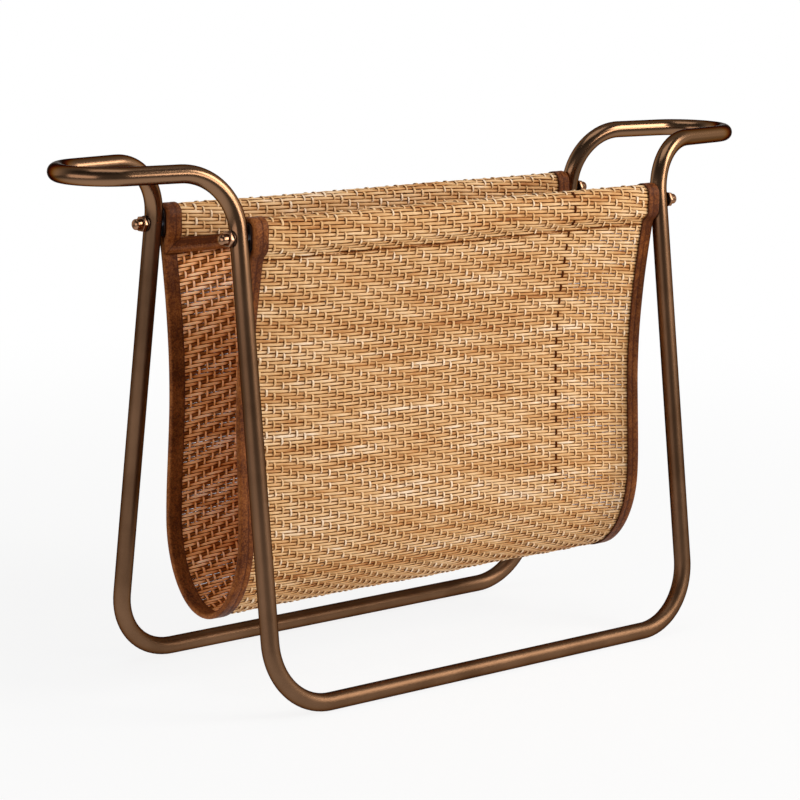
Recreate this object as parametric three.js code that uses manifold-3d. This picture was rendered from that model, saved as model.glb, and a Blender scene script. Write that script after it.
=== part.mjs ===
// Magazine basket: a stand bent from round steel tube carries a woven cane sling with leather edges.
// Lengths are millimetres. +Z is up, +X runs along the basket, -Y is its front.
// The origin is on the floor under the middle of the basket.

import * as THREE from 'three';
import { mergeVertices } from 'three/addons/utils/BufferGeometryUtils.js';
import Module from 'manifold-3d';

const wasm = await Module();
wasm.setup();

// Tube stand
const tubeDiameter = 12.7;
const tubeWall = 1.2;
const legSpacing = 401;
const railSpacing = 184;
const gripHeight = 370;
const gripRootWidth = 85;
const gripReach = 106.5;
const footBendRadius = 48;
const gripBendRadius = 41;
const gripEndRadius = 32;
const railJointGap = 0.3;
const sleeveLength = 60;

// Hanger bars and their fastenings
const barDropBelowGrip = 44.5;
const barHeight = 19;
const barThickness = 8;
const tapDepth = 14;
const threadDiameter = 6;
const threadHoleDiameter = 6.7;
const threadGrip = 5.6;
const studChamfer = 0.6;
const washerDiameter = 11.4;
const washerThickness = 0.8;
const nutAcrossFlats = 10;
const nutHexHeight = 3;
const nutDomeDiameter = 8.2;
const nutHeight = 9;
const nutBoreDepth = 6.2;

// Woven panel: heights above the floor and half depths, both of its middle line, and two drops
// below the bar's axis
const weaveThickness = 1.8;
const pocketFloorHeight = 53.9;
const bellyHeight = 118;
const bellyHalfDepth = 41.5;
const waistHeight = 205;
const waistHalfDepth = 38.1;
const seamDrop = 16.5;
const seamInset = -0.3;
const hemEndDrop = 20.4;
const slingEndClearance = 0.6;
const seamLeanShare = 0.43;
const flankTurnShare = 0.25;
const waistEaseShare = 0.38;
const loopEaseShare = 0.55;

// Leather edging
const leatherThickness = 0.8;
const edgingWidth = 12;

// Fits
const seatGap = 0.3;
const cutOverrun = 2;

// Facets: sides round a tube or stud, and steps along each bend
const tubeSides = 16;
const washerSides = 24;
const threadSides = 16;
const barEdgeSteps = 8;
const domeSteps = 6;
const bendSteps = 8;
const gripEndSteps = 8;
const pocketFloorSteps = 12;
const lowerFlankSteps = 7;
const upperFlankSteps = 8;
const loopSideSteps = 6;
const loopTopSteps = 12;

// Sizes worked out from the ones above
const flatToCorner = 1 / Math.cos(Math.PI / tubeSides);
const tubeRadius = tubeDiameter / 2;
const tubeCornerRadius = tubeRadius * flatToCorner;
const boreRadius = tubeRadius - tubeWall;
const legX = legSpacing / 2;
const railY = railSpacing / 2;
const gripRootY = gripRootWidth / 2;
const barAxisHeight = gripHeight - barDropBelowGrip;
const legLeanIn = (railY - gripRootY) / (gripHeight - tubeRadius);
const barY = railY - legLeanIn * (barAxisHeight - tubeRadius);
const barHalfLength = legX - tubeCornerRadius - seatGap;
const slingHalfLength = legX - tubeCornerRadius - slingEndClearance;
const washerInnerX = legX + tubeCornerRadius + seatGap;
const nutBaseX = washerInnerX + washerThickness + seatGap;
const threadEndX = nutBaseX + threadGrip;
const slotHalfThickness = weaveThickness / 2 + seatGap;
const edgingHalfThickness = slotHalfThickness + leatherThickness;
const layerPitch = 2 * edgingHalfThickness + seatGap;
const barEdgeRadius = barThickness / 2;
const barEdgeRise = barHeight / 2 - barEdgeRadius;
const loopHalfWidth = barEdgeRadius + seatGap + edgingHalfThickness;
const hemEndZ = barAxisHeight - hemEndDrop;
const hemStripBottomZ = hemEndZ - seatGap - leatherThickness;

// Turns an outline of (Y, Z) points, extruded along its own normal, into a bar along X
const acrossToBasket = new THREE.Matrix4().makeBasis(
  new THREE.Vector3(0, 1, 0),
  new THREE.Vector3(0, 0, 1),
  new THREE.Vector3(1, 0, 0),
);

const steel = { color: 0x5f4028, roughness: 0.3, metalness: 1 };
const polishedSteel = { color: 0x9a6f4a, roughness: 0.22, metalness: 1 };
const darkSteel = { color: 0x2a211c, roughness: 0.4, metalness: 1 };
const zincSteel = { color: 0x9a9ea3, roughness: 0.35, metalness: 1 };
const cane = { color: 0xcfa468, roughness: 0.6, metalness: 0 };
const leather = { color: 0x7a4324, roughness: 0.7, metalness: 0 };

function solidFrom(geometry) {
  const bare = geometry.clone();
  bare.deleteAttribute('normal');
  bare.deleteAttribute('uv');
  const welded = mergeVertices(bare);
  const vertProperties = new Float32Array(welded.attributes.position.array);
  const triVerts = new Uint32Array(welded.index.array);
  return new wasm.Manifold(new wasm.Mesh({ numProp: 3, vertProperties, triVerts }));
}

function geometryFrom(solid) {
  const mesh = solid.getMesh();
  const geometry = new THREE.BufferGeometry();
  geometry.setAttribute('position', new THREE.BufferAttribute(new Float32Array(mesh.vertProperties), 3));
  geometry.setIndex(new THREE.BufferAttribute(new Uint32Array(mesh.triVerts), 1));
  return geometry;
}

function piece(name, geometry, finish) {
  const mesh = new THREE.Mesh(geometry, new THREE.MeshStandardMaterial(finish));
  mesh.name = name;
  return mesh;
}

// A line of stations, each with its own heading and its own up and side directions
class BentLine extends THREE.Curve {
  constructor(stations) {
    super();
    this.stations = stations;
  }

  getPoint(share) {
    const at = Math.round(share * (this.stations.length - 1));
    return this.stations[at].point.clone();
  }

  getSpacedPoints() {
    return this.stations.map((station) => station.point.clone());
  }

  computeFrenetFrames() {
    return {
      tangents: this.stations.map((station) => station.heading),
      normals: this.stations.map((station) => station.up),
      binormals: this.stations.map((station) => station.heading.clone().cross(station.up)),
    };
  }
}

// Stations round one bend of the tube, from the straight before the corner to the straight after it
function bend(before, corner, after, radius, steps) {
  const back = before.clone().sub(corner).normalize();
  const onward = after.clone().sub(corner).normalize();
  const halfAngle = back.angleTo(onward) / 2;
  const heading = back.clone().negate();
  const centre = back.clone().add(onward).normalize().multiplyScalar(radius / Math.sin(halfAngle));
  centre.add(corner);
  const spoke = back.clone().multiplyScalar(radius / Math.tan(halfAngle)).add(corner).sub(centre);
  const axis = spoke.clone().cross(heading).normalize();
  const sweep = Math.PI - 2 * halfAngle;
  return Array.from({ length: steps + 1 }, (_, step) => {
    const angle = sweep * step / steps;
    return {
      point: spoke.clone().applyAxisAngle(axis, angle).add(centre),
      heading: heading.clone().applyAxisAngle(axis, angle),
    };
  });
}

// The front quarter of one end of the stand: half the rail, the leg and half the handle
function quarterStations(side) {
  const gripRoot = new THREE.Vector3(side * legX, -gripRootY, gripHeight);
  const gripEndX = legX + gripReach;
  const toEndCentre = gripReach - gripEndRadius;
  const closing = Math.asin(gripEndRadius / Math.hypot(toEndCentre, gripRootY));
  const taper = Math.atan2(gripRootY, toEndCentre) - closing;
  const gripCornerY = gripEndRadius * Math.tan(Math.PI / 4 - taper / 2);
  const railMiddle = new THREE.Vector3(side * railJointGap / 2, -railY, tubeRadius);
  const foot = new THREE.Vector3(side * legX, -railY, tubeRadius);
  const gripCorner = new THREE.Vector3(side * gripEndX, -gripCornerY, gripHeight);
  const gripMiddle = new THREE.Vector3(side * gripEndX, 0, gripHeight);
  const footBend = bend(railMiddle, foot, gripRoot, footBendRadius, bendSteps);
  const gripBend = bend(foot, gripRoot, gripCorner, gripBendRadius, bendSteps);
  const gripEnd = bend(gripRoot, gripCorner, gripMiddle, gripEndRadius, gripEndSteps);
  const start = { point: railMiddle, heading: footBend[0].heading.clone() };
  const stations = [start, ...footBend, ...gripBend, ...gripEnd];
  levelSections(stations, 1 + footBend.length);
  return stations;
}

// Carries the upright of the section along the line and turns it in the leg, so that the rail and
// the end of the handle both have a flat side level
function levelSections(stations, firstTurned) {
  const upright = new THREE.Vector3(0, 0, 1);
  const turn = new THREE.Quaternion();
  let up = upright.clone();
  stations.forEach((station, index) => {
    if (index > 0) {
      turn.setFromUnitVectors(stations[index - 1].heading, station.heading);
      up = up.clone().applyQuaternion(turn);
    }
    station.up = up;
  });
  const last = stations[stations.length - 1];
  const lean = Math.atan2(last.up.clone().cross(upright).dot(last.heading), last.up.dot(upright));
  stations.slice(firstTurned).forEach((station) => {
    station.up = station.up.clone().applyAxisAngle(station.heading, lean);
  });
}

function toRear(station) {
  const mirror = new THREE.Vector3(1, -1, 1);
  return {
    point: station.point.clone().multiply(mirror),
    heading: station.heading.clone().multiply(mirror).negate(),
    up: station.up.clone().multiply(mirror),
  };
}

function polygon(PathClass, cornerRadius, sides) {
  const corners = Array.from({ length: sides }, (_, side) => {
    const angle = 2 * Math.PI * (side + 1 / 2) / sides;
    return new THREE.Vector2(cornerRadius * Math.cos(angle), cornerRadius * Math.sin(angle));
  });
  return new PathClass(corners);
}

function rodAlongX(radius, length, sides) {
  const geometry = new THREE.CylinderGeometry(radius, radius, length, sides);
  geometry.rotateZ(Math.PI / 2);
  return geometry;
}

// One half of the stand, from the middle of the front rail to the middle of the rear rail.
// Each leg is drilled through for the stud of a hanger bar.
function standHalf(name, side) {
  const front = quarterStations(side);
  const rear = front.slice(0, -1).reverse().map(toRear);
  const line = new BentLine([...front, ...rear]);
  const section = polygon(THREE.Shape, tubeCornerRadius, tubeSides);
  section.holes.push(polygon(THREE.Path, boreRadius * flatToCorner, tubeSides));
  const steps = line.stations.length - 1;
  const tube = new THREE.ExtrudeGeometry(section, { steps, bevelEnabled: false, extrudePath: line });
  const drillLength = 2 * (tubeCornerRadius + cutOverrun);
  let solid = solidFrom(tube);
  for (const depthSide of [-1, 1]) {
    const drill = rodAlongX(threadHoleDiameter / 2, drillLength, threadSides);
    drill.translate(side * legX, depthSide * barY, barAxisHeight);
    solid = solid.subtract(solidFrom(drill));
  }
  return piece(name, geometryFrom(solid), steel);
}

// A plain bar inside the rails where the two halves of the stand meet
function railSleeve(name, depthSide) {
  const bar = rodAlongX(boreRadius - seatGap, sleeveLength, tubeSides);
  const mesh = piece(name, bar, zincSteel);
  mesh.position.set(0, depthSide * railY, tubeRadius);
  return mesh;
}

// A flat bar with round edges, with a threaded hole in each end
function hangerBar(name, depthSide) {
  const section = new THREE.Shape();
  section.absarc(0, barEdgeRise, barEdgeRadius, 0, Math.PI, false);
  section.absarc(0, -barEdgeRise, barEdgeRadius, Math.PI, 2 * Math.PI, false);
  const extent = { depth: 2 * barHalfLength, bevelEnabled: false, curveSegments: barEdgeSteps };
  const bar = new THREE.ExtrudeGeometry(section, extent);
  bar.applyMatrix4(acrossToBasket);
  bar.translate(-barHalfLength, 0, 0);
  let solid = solidFrom(bar);
  for (const side of [-1, 1]) {
    const hole = rodAlongX(threadHoleDiameter / 2, tapDepth + cutOverrun, threadSides);
    hole.translate(side * (barHalfLength - (tapDepth - cutOverrun) / 2), 0, 0);
    solid = solid.subtract(solidFrom(hole));
  }
  const mesh = piece(name, geometryFrom(solid), zincSteel);
  mesh.position.set(0, depthSide * barY, barAxisHeight);
  return mesh;
}

// A stud screwed into the end of a hanger bar. It passes through the leg and into the cap nut.
function hangerStud(name, side, depthSide) {
  const studInnerX = barHalfLength - tapDepth + seatGap;
  const length = threadEndX - studInnerX;
  const radius = threadDiameter / 2;
  const outline = [
    new THREE.Vector2(0, 0),
    new THREE.Vector2(radius - studChamfer, 0),
    new THREE.Vector2(radius, studChamfer),
    new THREE.Vector2(radius, length - studChamfer),
    new THREE.Vector2(radius - studChamfer, length),
    new THREE.Vector2(0, length),
  ];
  const geometry = new THREE.LatheGeometry(outline, threadSides);
  geometry.rotateZ(-side * Math.PI / 2);
  const mesh = piece(name, geometry, zincSteel);
  mesh.position.set(side * studInnerX, depthSide * barY, barAxisHeight);
  return mesh;
}

function washer(name, side, depthSide) {
  const disc = polygon(THREE.Shape, washerDiameter / 2, washerSides);
  disc.holes.push(polygon(THREE.Path, threadHoleDiameter / 2, threadSides));
  const geometry = new THREE.ExtrudeGeometry(disc, { depth: washerThickness, bevelEnabled: false });
  geometry.rotateY(side * Math.PI / 2);
  const mesh = piece(name, geometry, darkSteel);
  mesh.position.set(side * washerInnerX, depthSide * barY, barAxisHeight);
  return mesh;
}

// A domed cap nut: a hexagon, then a short barrel with a round end, bored from its flat side
function capNut(name, side, depthSide) {
  const hexCorner = nutAcrossFlats / 2 / Math.cos(Math.PI / 6);
  const hexagon = new THREE.CylinderGeometry(hexCorner, hexCorner, nutHexHeight, 6);
  hexagon.translate(0, nutHexHeight / 2, 0);
  const domeRadius = nutDomeDiameter / 2;
  const domeBase = nutHeight - domeRadius;
  const outline = [new THREE.Vector2(0, nutHexHeight / 2), new THREE.Vector2(domeRadius, nutHexHeight / 2)];
  for (let step = 0; step < domeSteps; step += 1) {
    const angle = Math.PI / 2 * step / domeSteps;
    const out = domeRadius * Math.cos(angle);
    outline.push(new THREE.Vector2(out, domeBase + domeRadius * Math.sin(angle)));
  }
  outline.push(new THREE.Vector2(0, nutHeight));
  const dome = new THREE.LatheGeometry(outline, threadSides);
  const boreLength = nutBoreDepth + cutOverrun;
  const holeRadius = threadHoleDiameter / 2;
  const bore = new THREE.CylinderGeometry(holeRadius, holeRadius, boreLength, threadSides);
  bore.translate(0, nutBoreDepth - boreLength / 2, 0);
  const solid = solidFrom(hexagon).add(solidFrom(dome)).subtract(solidFrom(bore));
  const geometry = geometryFrom(solid);
  geometry.rotateZ(-side * Math.PI / 2);
  const mesh = piece(name, geometry, polishedSteel);
  mesh.position.set(side * nutBaseX, depthSide * barY, barAxisHeight);
  return mesh;
}

// The middle line of the panel on the rear side, from the folded end inside the pocket, up over the
// bar, down the flank and round to the middle of the pocket floor. Points are (Y, Z).
function rearHalfLine() {
  const seam = new THREE.Vector2(barY - seamInset, barAxisHeight - seamDrop);
  const waist = new THREE.Vector2(waistHalfDepth, waistHeight);
  const flankRise = seam.y - waist.y;
  const lean = (seam.x - waist.x) * seamLeanShare / (flankRise * flankTurnShare);
  const loopEase = (barAxisHeight - barEdgeRise - seam.y) * loopEaseShare;
  const loopOuter = new THREE.Vector2(barY + loopHalfWidth, barAxisHeight - barEdgeRise);
  const loopInner = new THREE.Vector2(barY - loopHalfWidth, barAxisHeight - barEdgeRise);
  const hemTop = new THREE.Vector2(seam.x - layerPitch, seam.y);
  const hemEnd = new THREE.Vector2(hemTop.x - lean * (seam.y - hemEndZ), hemEndZ);
  const innerSide = new THREE.CubicBezierCurve(
    hemTop,
    new THREE.Vector2(hemTop.x + lean * loopEase, hemTop.y + loopEase),
    new THREE.Vector2(loopInner.x, loopInner.y - loopEase),
    loopInner,
  );
  const topCentreZ = barAxisHeight + barEdgeRise;
  const loopTop = new THREE.EllipseCurve(barY, topCentreZ, loopHalfWidth, loopHalfWidth, Math.PI, 0, true);
  const outerSide = new THREE.CubicBezierCurve(
    loopOuter,
    new THREE.Vector2(loopOuter.x, loopOuter.y - loopEase),
    new THREE.Vector2(seam.x + lean * loopEase, seam.y + loopEase),
    seam,
  );
  const upperFlank = new THREE.CubicBezierCurve(
    seam,
    new THREE.Vector2(seam.x - lean * flankRise * flankTurnShare, seam.y - flankRise * flankTurnShare),
    new THREE.Vector2(waist.x, waist.y + flankRise * waistEaseShare),
    waist,
  );
  const lowerFlank = Array.from({ length: lowerFlankSteps }, (_, step) => {
    const share = step / lowerFlankSteps;
    const swell = (1 - Math.cos(Math.PI * share)) / 2;
    const out = waistHalfDepth + (bellyHalfDepth - waistHalfDepth) * swell;
    return new THREE.Vector2(out, waist.y + (bellyHeight - waist.y) * share);
  });
  const floorRise = bellyHeight - pocketFloorHeight;
  const floor = new THREE.EllipseCurve(0, bellyHeight, bellyHalfDepth, floorRise, 0, -Math.PI / 2, true);
  return [
    hemEnd,
    ...innerSide.getPoints(loopSideSteps),
    ...loopTop.getPoints(loopTopSteps),
    ...outerSide.getPoints(loopSideSteps).slice(0, -1),
    ...upperFlank.getPoints(upperFlankSteps).slice(0, -1),
    ...lowerFlank,
    ...floor.getPoints(pocketFloorSteps),
  ];
}

function wholeLine() {
  const rear = rearHalfLine();
  return [...rear, ...mirrored(rear.slice(0, -1)).reverse()];
}

// The first stretch of a line, up to the given length along it. Where it would end just past a
// point of the line, that point gives way to the end.
function startOfLine(line, length) {
  const kept = [line[0]];
  let left = length;
  for (let index = 1; index < line.length; index += 1) {
    const span = line[index].distanceTo(line[index - 1]);
    if (span >= left) {
      const end = line[index - 1].clone().lerp(line[index], left / span);
      return left < span / 2 && kept.length > 1 ? [...kept.slice(0, -1), end] : [...kept, end];
    }
    kept.push(line[index]);
    left -= span;
  }
  return kept;
}

// A line whose first point, and last point if that is asked for, is moved on along its own stretch
function lengthened(line, extra, atLast) {
  const longer = [...line];
  const end = line.length - 1;
  longer[0] = line[0].clone().sub(line[1]).setLength(extra).add(line[0]);
  if (atLast) {
    longer[end] = line[end].clone().sub(line[end - 1]).setLength(extra).add(line[end]);
  }
  return longer;
}

function normalAt(line, index) {
  const before = line[Math.max(index - 1, 0)];
  const after = line[Math.min(index + 1, line.length - 1)];
  const along = after.clone().sub(before).normalize();
  return new THREE.Vector2(-along.y, along.x);
}

// A band of even thickness that follows a line of (Y, Z) points, stretched along X
function bandAlongX(line, halfThickness, fromX, toX) {
  const outer = line.map((point, index) => normalAt(line, index).multiplyScalar(halfThickness).add(point));
  const inner = line.map((point, index) => normalAt(line, index).multiplyScalar(-halfThickness).add(point));
  const shape = new THREE.Shape([...outer, ...inner.reverse()]);
  const geometry = new THREE.ExtrudeGeometry(shape, { depth: toX - fromX, bevelEnabled: false });
  geometry.applyMatrix4(acrossToBasket);
  geometry.translate(fromX, 0, 0);
  return geometry;
}

function slingPanel() {
  const endX = slingHalfLength - leatherThickness - seatGap;
  return piece('sling_panel', bandAlongX(wholeLine(), weaveThickness / 2, -endX, endX), cane);
}

function mirrored(line) {
  return line.map((point) => new THREE.Vector2(-point.x, point.y));
}

// A prism right across the basket at one end of the folded edges. Its outline is given as
// distances in from the end of the sling and up from the lower edge of the hem strip.
function cornerPrism(side, outline) {
  const corners = outline.map(([inward, up]) => {
    return new THREE.Vector2(side * (slingHalfLength - inward), hemStripBottomZ + up);
  });
  const extent = { depth: railSpacing, bevelEnabled: false };
  const prism = new THREE.ExtrudeGeometry(new THREE.Shape(corners), extent);
  prism.rotateX(Math.PI / 2);
  prism.translate(0, railY, 0);
  return solidFrom(prism);
}

// What the mitred end of the hem strip takes away from the side strip
function mitreInSideStrip(side) {
  const reach = edgingWidth + cutOverrun;
  const outline = [[-cutOverrun, -cutOverrun], [reach, -cutOverrun], [reach, reach + seatGap]];
  const prism = cornerPrism(side, [...outline, [-cutOverrun, seatGap - cutOverrun]]);
  const tail = lengthened(startOfLine(rearHalfLine(), reach), cutOverrun, false);
  const layerHalf = edgingHalfThickness + seatGap / 2;
  const rear = solidFrom(bandAlongX(tail, layerHalf, -legX, legX));
  const front = solidFrom(bandAlongX(mirrored(tail), layerHalf, -legX, legX));
  return prism.intersect(rear.add(front));
}

// A leather strip folded over one end of the panel, all the way round its edge
function sideEdging(name, side) {
  const innerX = slingHalfLength - edgingWidth;
  const webX = slingHalfLength - leatherThickness;
  const stripLine = lengthened(wholeLine(), seatGap + leatherThickness, true);
  const slotLine = lengthened(stripLine, cutOverrun, true);
  const fromX = side > 0 ? innerX : -slingHalfLength;
  const toX = side > 0 ? slingHalfLength : -innerX;
  const slotFromX = side > 0 ? innerX - cutOverrun : -webX;
  const slotToX = side > 0 ? webX : -innerX + cutOverrun;
  const strip = solidFrom(bandAlongX(stripLine, edgingHalfThickness, fromX, toX));
  const slot = solidFrom(bandAlongX(slotLine, slotHalfThickness, slotFromX, slotToX));
  return piece(name, geometryFrom(strip.subtract(slot).subtract(mitreInSideStrip(side))), leather);
}

// A leather strip folded over the turned-in end of the panel, mitred to the side strips
function hemEdging(name, depthSide) {
  const rearLine = rearHalfLine();
  const tail = startOfLine(rearLine, edgingWidth - leatherThickness - seatGap);
  const stripLine = lengthened(tail, seatGap + leatherThickness, false);
  const slotLine = lengthened(startOfLine(rearLine, edgingWidth + cutOverrun), seatGap, false);
  const strip = solidFrom(bandAlongX(stripLine, edgingHalfThickness, -slingHalfLength, slingHalfLength));
  const slot = solidFrom(bandAlongX(slotLine, slotHalfThickness, -legX, legX));
  const reach = edgingWidth + cutOverrun;
  let solid = strip.subtract(slot);
  for (const side of [-1, 1]) {
    const outline = [[-cutOverrun, -cutOverrun - seatGap], [reach + seatGap, reach], [-cutOverrun, reach]];
    solid = solid.subtract(cornerPrism(side, outline));
  }
  const mesh = piece(name, geometryFrom(solid), leather);
  if (depthSide < 0) {
    mesh.rotation.z = Math.PI;
  }
  return mesh;
}

const basket = new THREE.Group();
const corners = [
  ['front_left', -1, -1],
  ['front_right', 1, -1],
  ['rear_left', -1, 1],
  ['rear_right', 1, 1],
];
basket.add(standHalf('stand_tube_left', -1), standHalf('stand_tube_right', 1));
basket.add(railSleeve('rail_sleeve_front', -1), railSleeve('rail_sleeve_rear', 1));
basket.add(hangerBar('hanger_bar_front', -1), hangerBar('hanger_bar_rear', 1));
for (const [corner, side, depthSide] of corners) {
  basket.add(hangerStud(`hanger_stud_${corner}`, side, depthSide));
  basket.add(washer(`washer_${corner}`, side, depthSide));
  basket.add(capNut(`cap_nut_${corner}`, side, depthSide));
}
basket.add(slingPanel());
basket.add(sideEdging('side_edging_left', -1), sideEdging('side_edging_right', 1));
basket.add(hemEdging('hem_edging_front', -1), hemEdging('hem_edging_rear', 1));

export default basket;
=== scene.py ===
import math

import bpy
import numpy as np
from mathutils import Matrix, Vector


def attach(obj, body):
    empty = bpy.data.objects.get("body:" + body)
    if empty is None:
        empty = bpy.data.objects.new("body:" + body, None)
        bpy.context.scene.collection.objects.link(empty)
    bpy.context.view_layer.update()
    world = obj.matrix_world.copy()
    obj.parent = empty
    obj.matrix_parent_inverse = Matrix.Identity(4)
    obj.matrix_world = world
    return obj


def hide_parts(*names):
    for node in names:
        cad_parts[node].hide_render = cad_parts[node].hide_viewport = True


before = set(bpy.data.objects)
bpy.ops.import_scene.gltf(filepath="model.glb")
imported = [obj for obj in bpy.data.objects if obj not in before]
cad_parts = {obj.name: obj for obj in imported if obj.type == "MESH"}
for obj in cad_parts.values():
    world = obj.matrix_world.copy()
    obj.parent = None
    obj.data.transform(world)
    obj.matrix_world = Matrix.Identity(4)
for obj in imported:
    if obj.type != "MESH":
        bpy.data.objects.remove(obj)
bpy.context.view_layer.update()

# Stand. One round steel tube, bent cold into two end frames that share the rails on the floor
# and rise into a handle loop at each end. It is finished in a dark bronze lacquer, dull on the
# legs and rails, and rubbed smoother by hands on the handle loops. The loops are also painted
# lighter, partly as that polish and partly as a painted highlight.
millimetre = 0.001
tube_radius = 6.35 * millimetre
tube_sides = 40
rail_y = -92 * millimetre
leg_x = 200.5 * millimetre
grip_root_y = -42.5 * millimetre
grip_height = 370 * millimetre
grip_reach = 106.5 * millimetre
foot_bend_radius = 48 * millimetre
grip_bend_radius = 41 * millimetre
grip_end_radius = 32 * millimetre
butt_gap = 0.01 * millimetre
bend_steps = 20
bronze_deep = (0.105, 0.054, 0.028, 1)
bronze_rubbed = (0.185, 0.100, 0.055, 1)
bronze_polished_highlight = (0.235, 0.129, 0.071, 1)
polish_begins_z = 0.285
polish_full_z = 0.345
unpolished_dullness = 0.20
polish_gloss = 0.18

reach_to_end_centre = grip_reach - grip_end_radius
end_offset = math.hypot(reach_to_end_centre, grip_root_y)
grip_taper = math.atan2(-grip_root_y, reach_to_end_centre) - math.asin(grip_end_radius / end_offset)
grip_corner_y = -grip_end_radius * math.tan(math.pi / 4 - grip_taper / 2)

tube_line = [
    Vector((butt_gap, rail_y, tube_radius)),
    Vector((leg_x, rail_y, tube_radius)),
    Vector((leg_x, grip_root_y, grip_height)),
    Vector((leg_x + grip_reach, grip_corner_y, grip_height)),
    Vector((leg_x + grip_reach, 0, grip_height)),
]
tube_bends = [foot_bend_radius, grip_bend_radius, grip_end_radius]


def edit(piece):
    """Select one piece alone and open it in edit mode with nothing chosen."""
    if bpy.context.mode != "OBJECT":
        bpy.ops.object.mode_set(mode="OBJECT")
    bpy.ops.object.select_all(action="DESELECT")
    piece.select_set(True)
    bpy.context.view_layer.objects.active = piece
    bpy.ops.object.mode_set(mode="EDIT")
    bpy.ops.mesh.select_all(action="DESELECT")


def select_vertices(piece, wanted):
    """Choose the vertices of an edited piece whose place passes the test."""
    bpy.ops.mesh.select_mode(type="VERT")
    bpy.ops.mesh.select_all(action="DESELECT")
    bpy.ops.object.mode_set(mode="OBJECT")
    for vertex in piece.data.vertices:
        vertex.select = wanted(vertex.co)
    bpy.ops.object.mode_set(mode="EDIT")


def close_and_smooth(piece, angle=35):
    """Merge doubles, turn every face outwards and shade it smooth up to an angle."""
    edit(piece)
    bpy.ops.mesh.select_all(action="SELECT")
    bpy.ops.mesh.remove_doubles(threshold=1e-6)
    bpy.ops.mesh.normals_make_consistent(inside=False)
    bpy.ops.object.mode_set(mode="OBJECT")
    bpy.ops.object.shade_smooth_by_angle(angle=math.radians(angle))


bpy.ops.object.select_all(action="DESELECT")
bpy.ops.mesh.primitive_circle_add(
    vertices=tube_sides, radius=tube_radius, location=tube_line[0], rotation=(0, math.pi / 2, 0)
)
right_half = bpy.context.object
right_half.name = "bronze_tube_right"
bpy.ops.object.transform_apply(location=True, rotation=True, scale=True)
edit(right_half)
bpy.ops.mesh.select_all(action="SELECT")
ring_at = tube_line[0]
for before, corner, after, radius in zip(tube_line, tube_line[1:], tube_line[2:], tube_bends):
    back = (before - corner).normalized()
    onward = (after - corner).normalized()
    half_angle = back.angle(onward) / 2
    bend_centre = corner + (back + onward).normalized() * (radius / math.sin(half_angle))
    bend_start = corner + back * (radius / math.tan(half_angle))
    bend_axis = (bend_start - bend_centre).cross(-back).normalized()
    bpy.ops.mesh.extrude_region_move(TRANSFORM_OT_translate={"value": bend_start - ring_at})
    bpy.ops.mesh.spin(
        steps=bend_steps, angle=2 * half_angle - math.pi, center=bend_centre, axis=bend_axis
    )
    ring_at = corner + onward * (radius / math.tan(half_angle))
select_vertices(right_half, lambda place: place.x < butt_gap + 1e-6)
bpy.ops.mesh.edge_face_add()
bpy.ops.object.mode_set(mode="OBJECT")
mirror = right_half.modifiers.new("rear side", "MIRROR")
mirror.use_axis = (False, True, False)
mirror.merge_threshold = 0.02 * millimetre
bpy.ops.object.modifier_apply(modifier=mirror.name)
close_and_smooth(right_half)

bpy.ops.object.duplicate()
left_half = bpy.context.object
left_half.name = "bronze_tube_left"
edit(left_half)
bpy.ops.mesh.select_all(action="SELECT")
bpy.ops.transform.resize(value=(-1, 1, 1), center_override=(0, 0, 0))
close_and_smooth(left_half)


def new_material(name, **sockets):
    """A material with one Principled shader, its uniform values set on its own sockets."""
    material = bpy.data.materials.new(name)
    material.use_nodes = True
    shader = material.node_tree.nodes["Principled BSDF"]
    for socket, value in sockets.items():
        shader.inputs[socket.replace("_", " ")].default_value = value
    return material, material.node_tree.nodes, material.node_tree.links, shader


def new_group(name, inputs, outputs):
    """A shader node group; inputs and outputs give each socket its type and value."""
    group = bpy.data.node_groups.new(name, "ShaderNodeTree")
    for label, (kind, value) in inputs.items():
        socket = group.interface.new_socket(label, in_out="INPUT", socket_type=kind)
        if value is not None:
            socket.default_value = value
    for label, kind in outputs.items():
        group.interface.new_socket(label, in_out="OUTPUT", socket_type=kind)
    into = group.nodes.new("NodeGroupInput")
    out = group.nodes.new("NodeGroupOutput")
    return group, group.nodes, group.links, into, out


def noise_node(nodes, links, vector, scale, detail=2.0, roughness=0.5):
    """Noise read at a vector, with its scale set on it or fed by a socket."""
    noise = nodes.new("ShaderNodeTexNoise")
    noise.inputs["Detail"].default_value = detail
    noise.inputs["Roughness"].default_value = roughness
    links.new(vector, noise.inputs["Vector"])
    if isinstance(scale, (int, float)):
        noise.inputs["Scale"].default_value = scale
    else:
        links.new(scale, noise.inputs["Scale"])
    return noise.outputs["Fac"]


def ramp_node(nodes, links, factor, stops):
    """A colour ramp over (position, colour) stops."""
    ramp = nodes.new("ShaderNodeValToRGB")
    while len(ramp.color_ramp.elements) < len(stops):
        ramp.color_ramp.elements.new(0.5)
    for element, (position, colour) in zip(ramp.color_ramp.elements, stops):
        element.position = position
        element.color = colour
    links.new(factor, ramp.inputs["Fac"])
    return ramp.outputs["Color"]


def mix_node(nodes, links, kind, factor, first, second, blend="MIX"):
    """Mix two colours or numbers; each may be a socket or a plain value."""
    mix = nodes.new("ShaderNodeMix")
    mix.data_type = kind
    mix.blend_type = blend
    places = {"FLOAT": (0, 2, 3, 0), "RGBA": (0, 6, 7, 2)}[kind]
    for place, value in zip(places, (factor, first, second)):
        if isinstance(value, bpy.types.NodeSocket):
            links.new(value, mix.inputs[place])
        else:
            mix.inputs[place].default_value = value
    return mix.outputs[places[3]]


def math_node(nodes, links, operation, *values):
    """One arithmetic step on sockets or plain numbers."""
    step = nodes.new("ShaderNodeMath")
    step.operation = operation
    for place, value in enumerate(values):
        if isinstance(value, bpy.types.NodeSocket):
            links.new(value, step.inputs[place])
        else:
            step.inputs[place].default_value = value
    return step.outputs[0]


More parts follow.
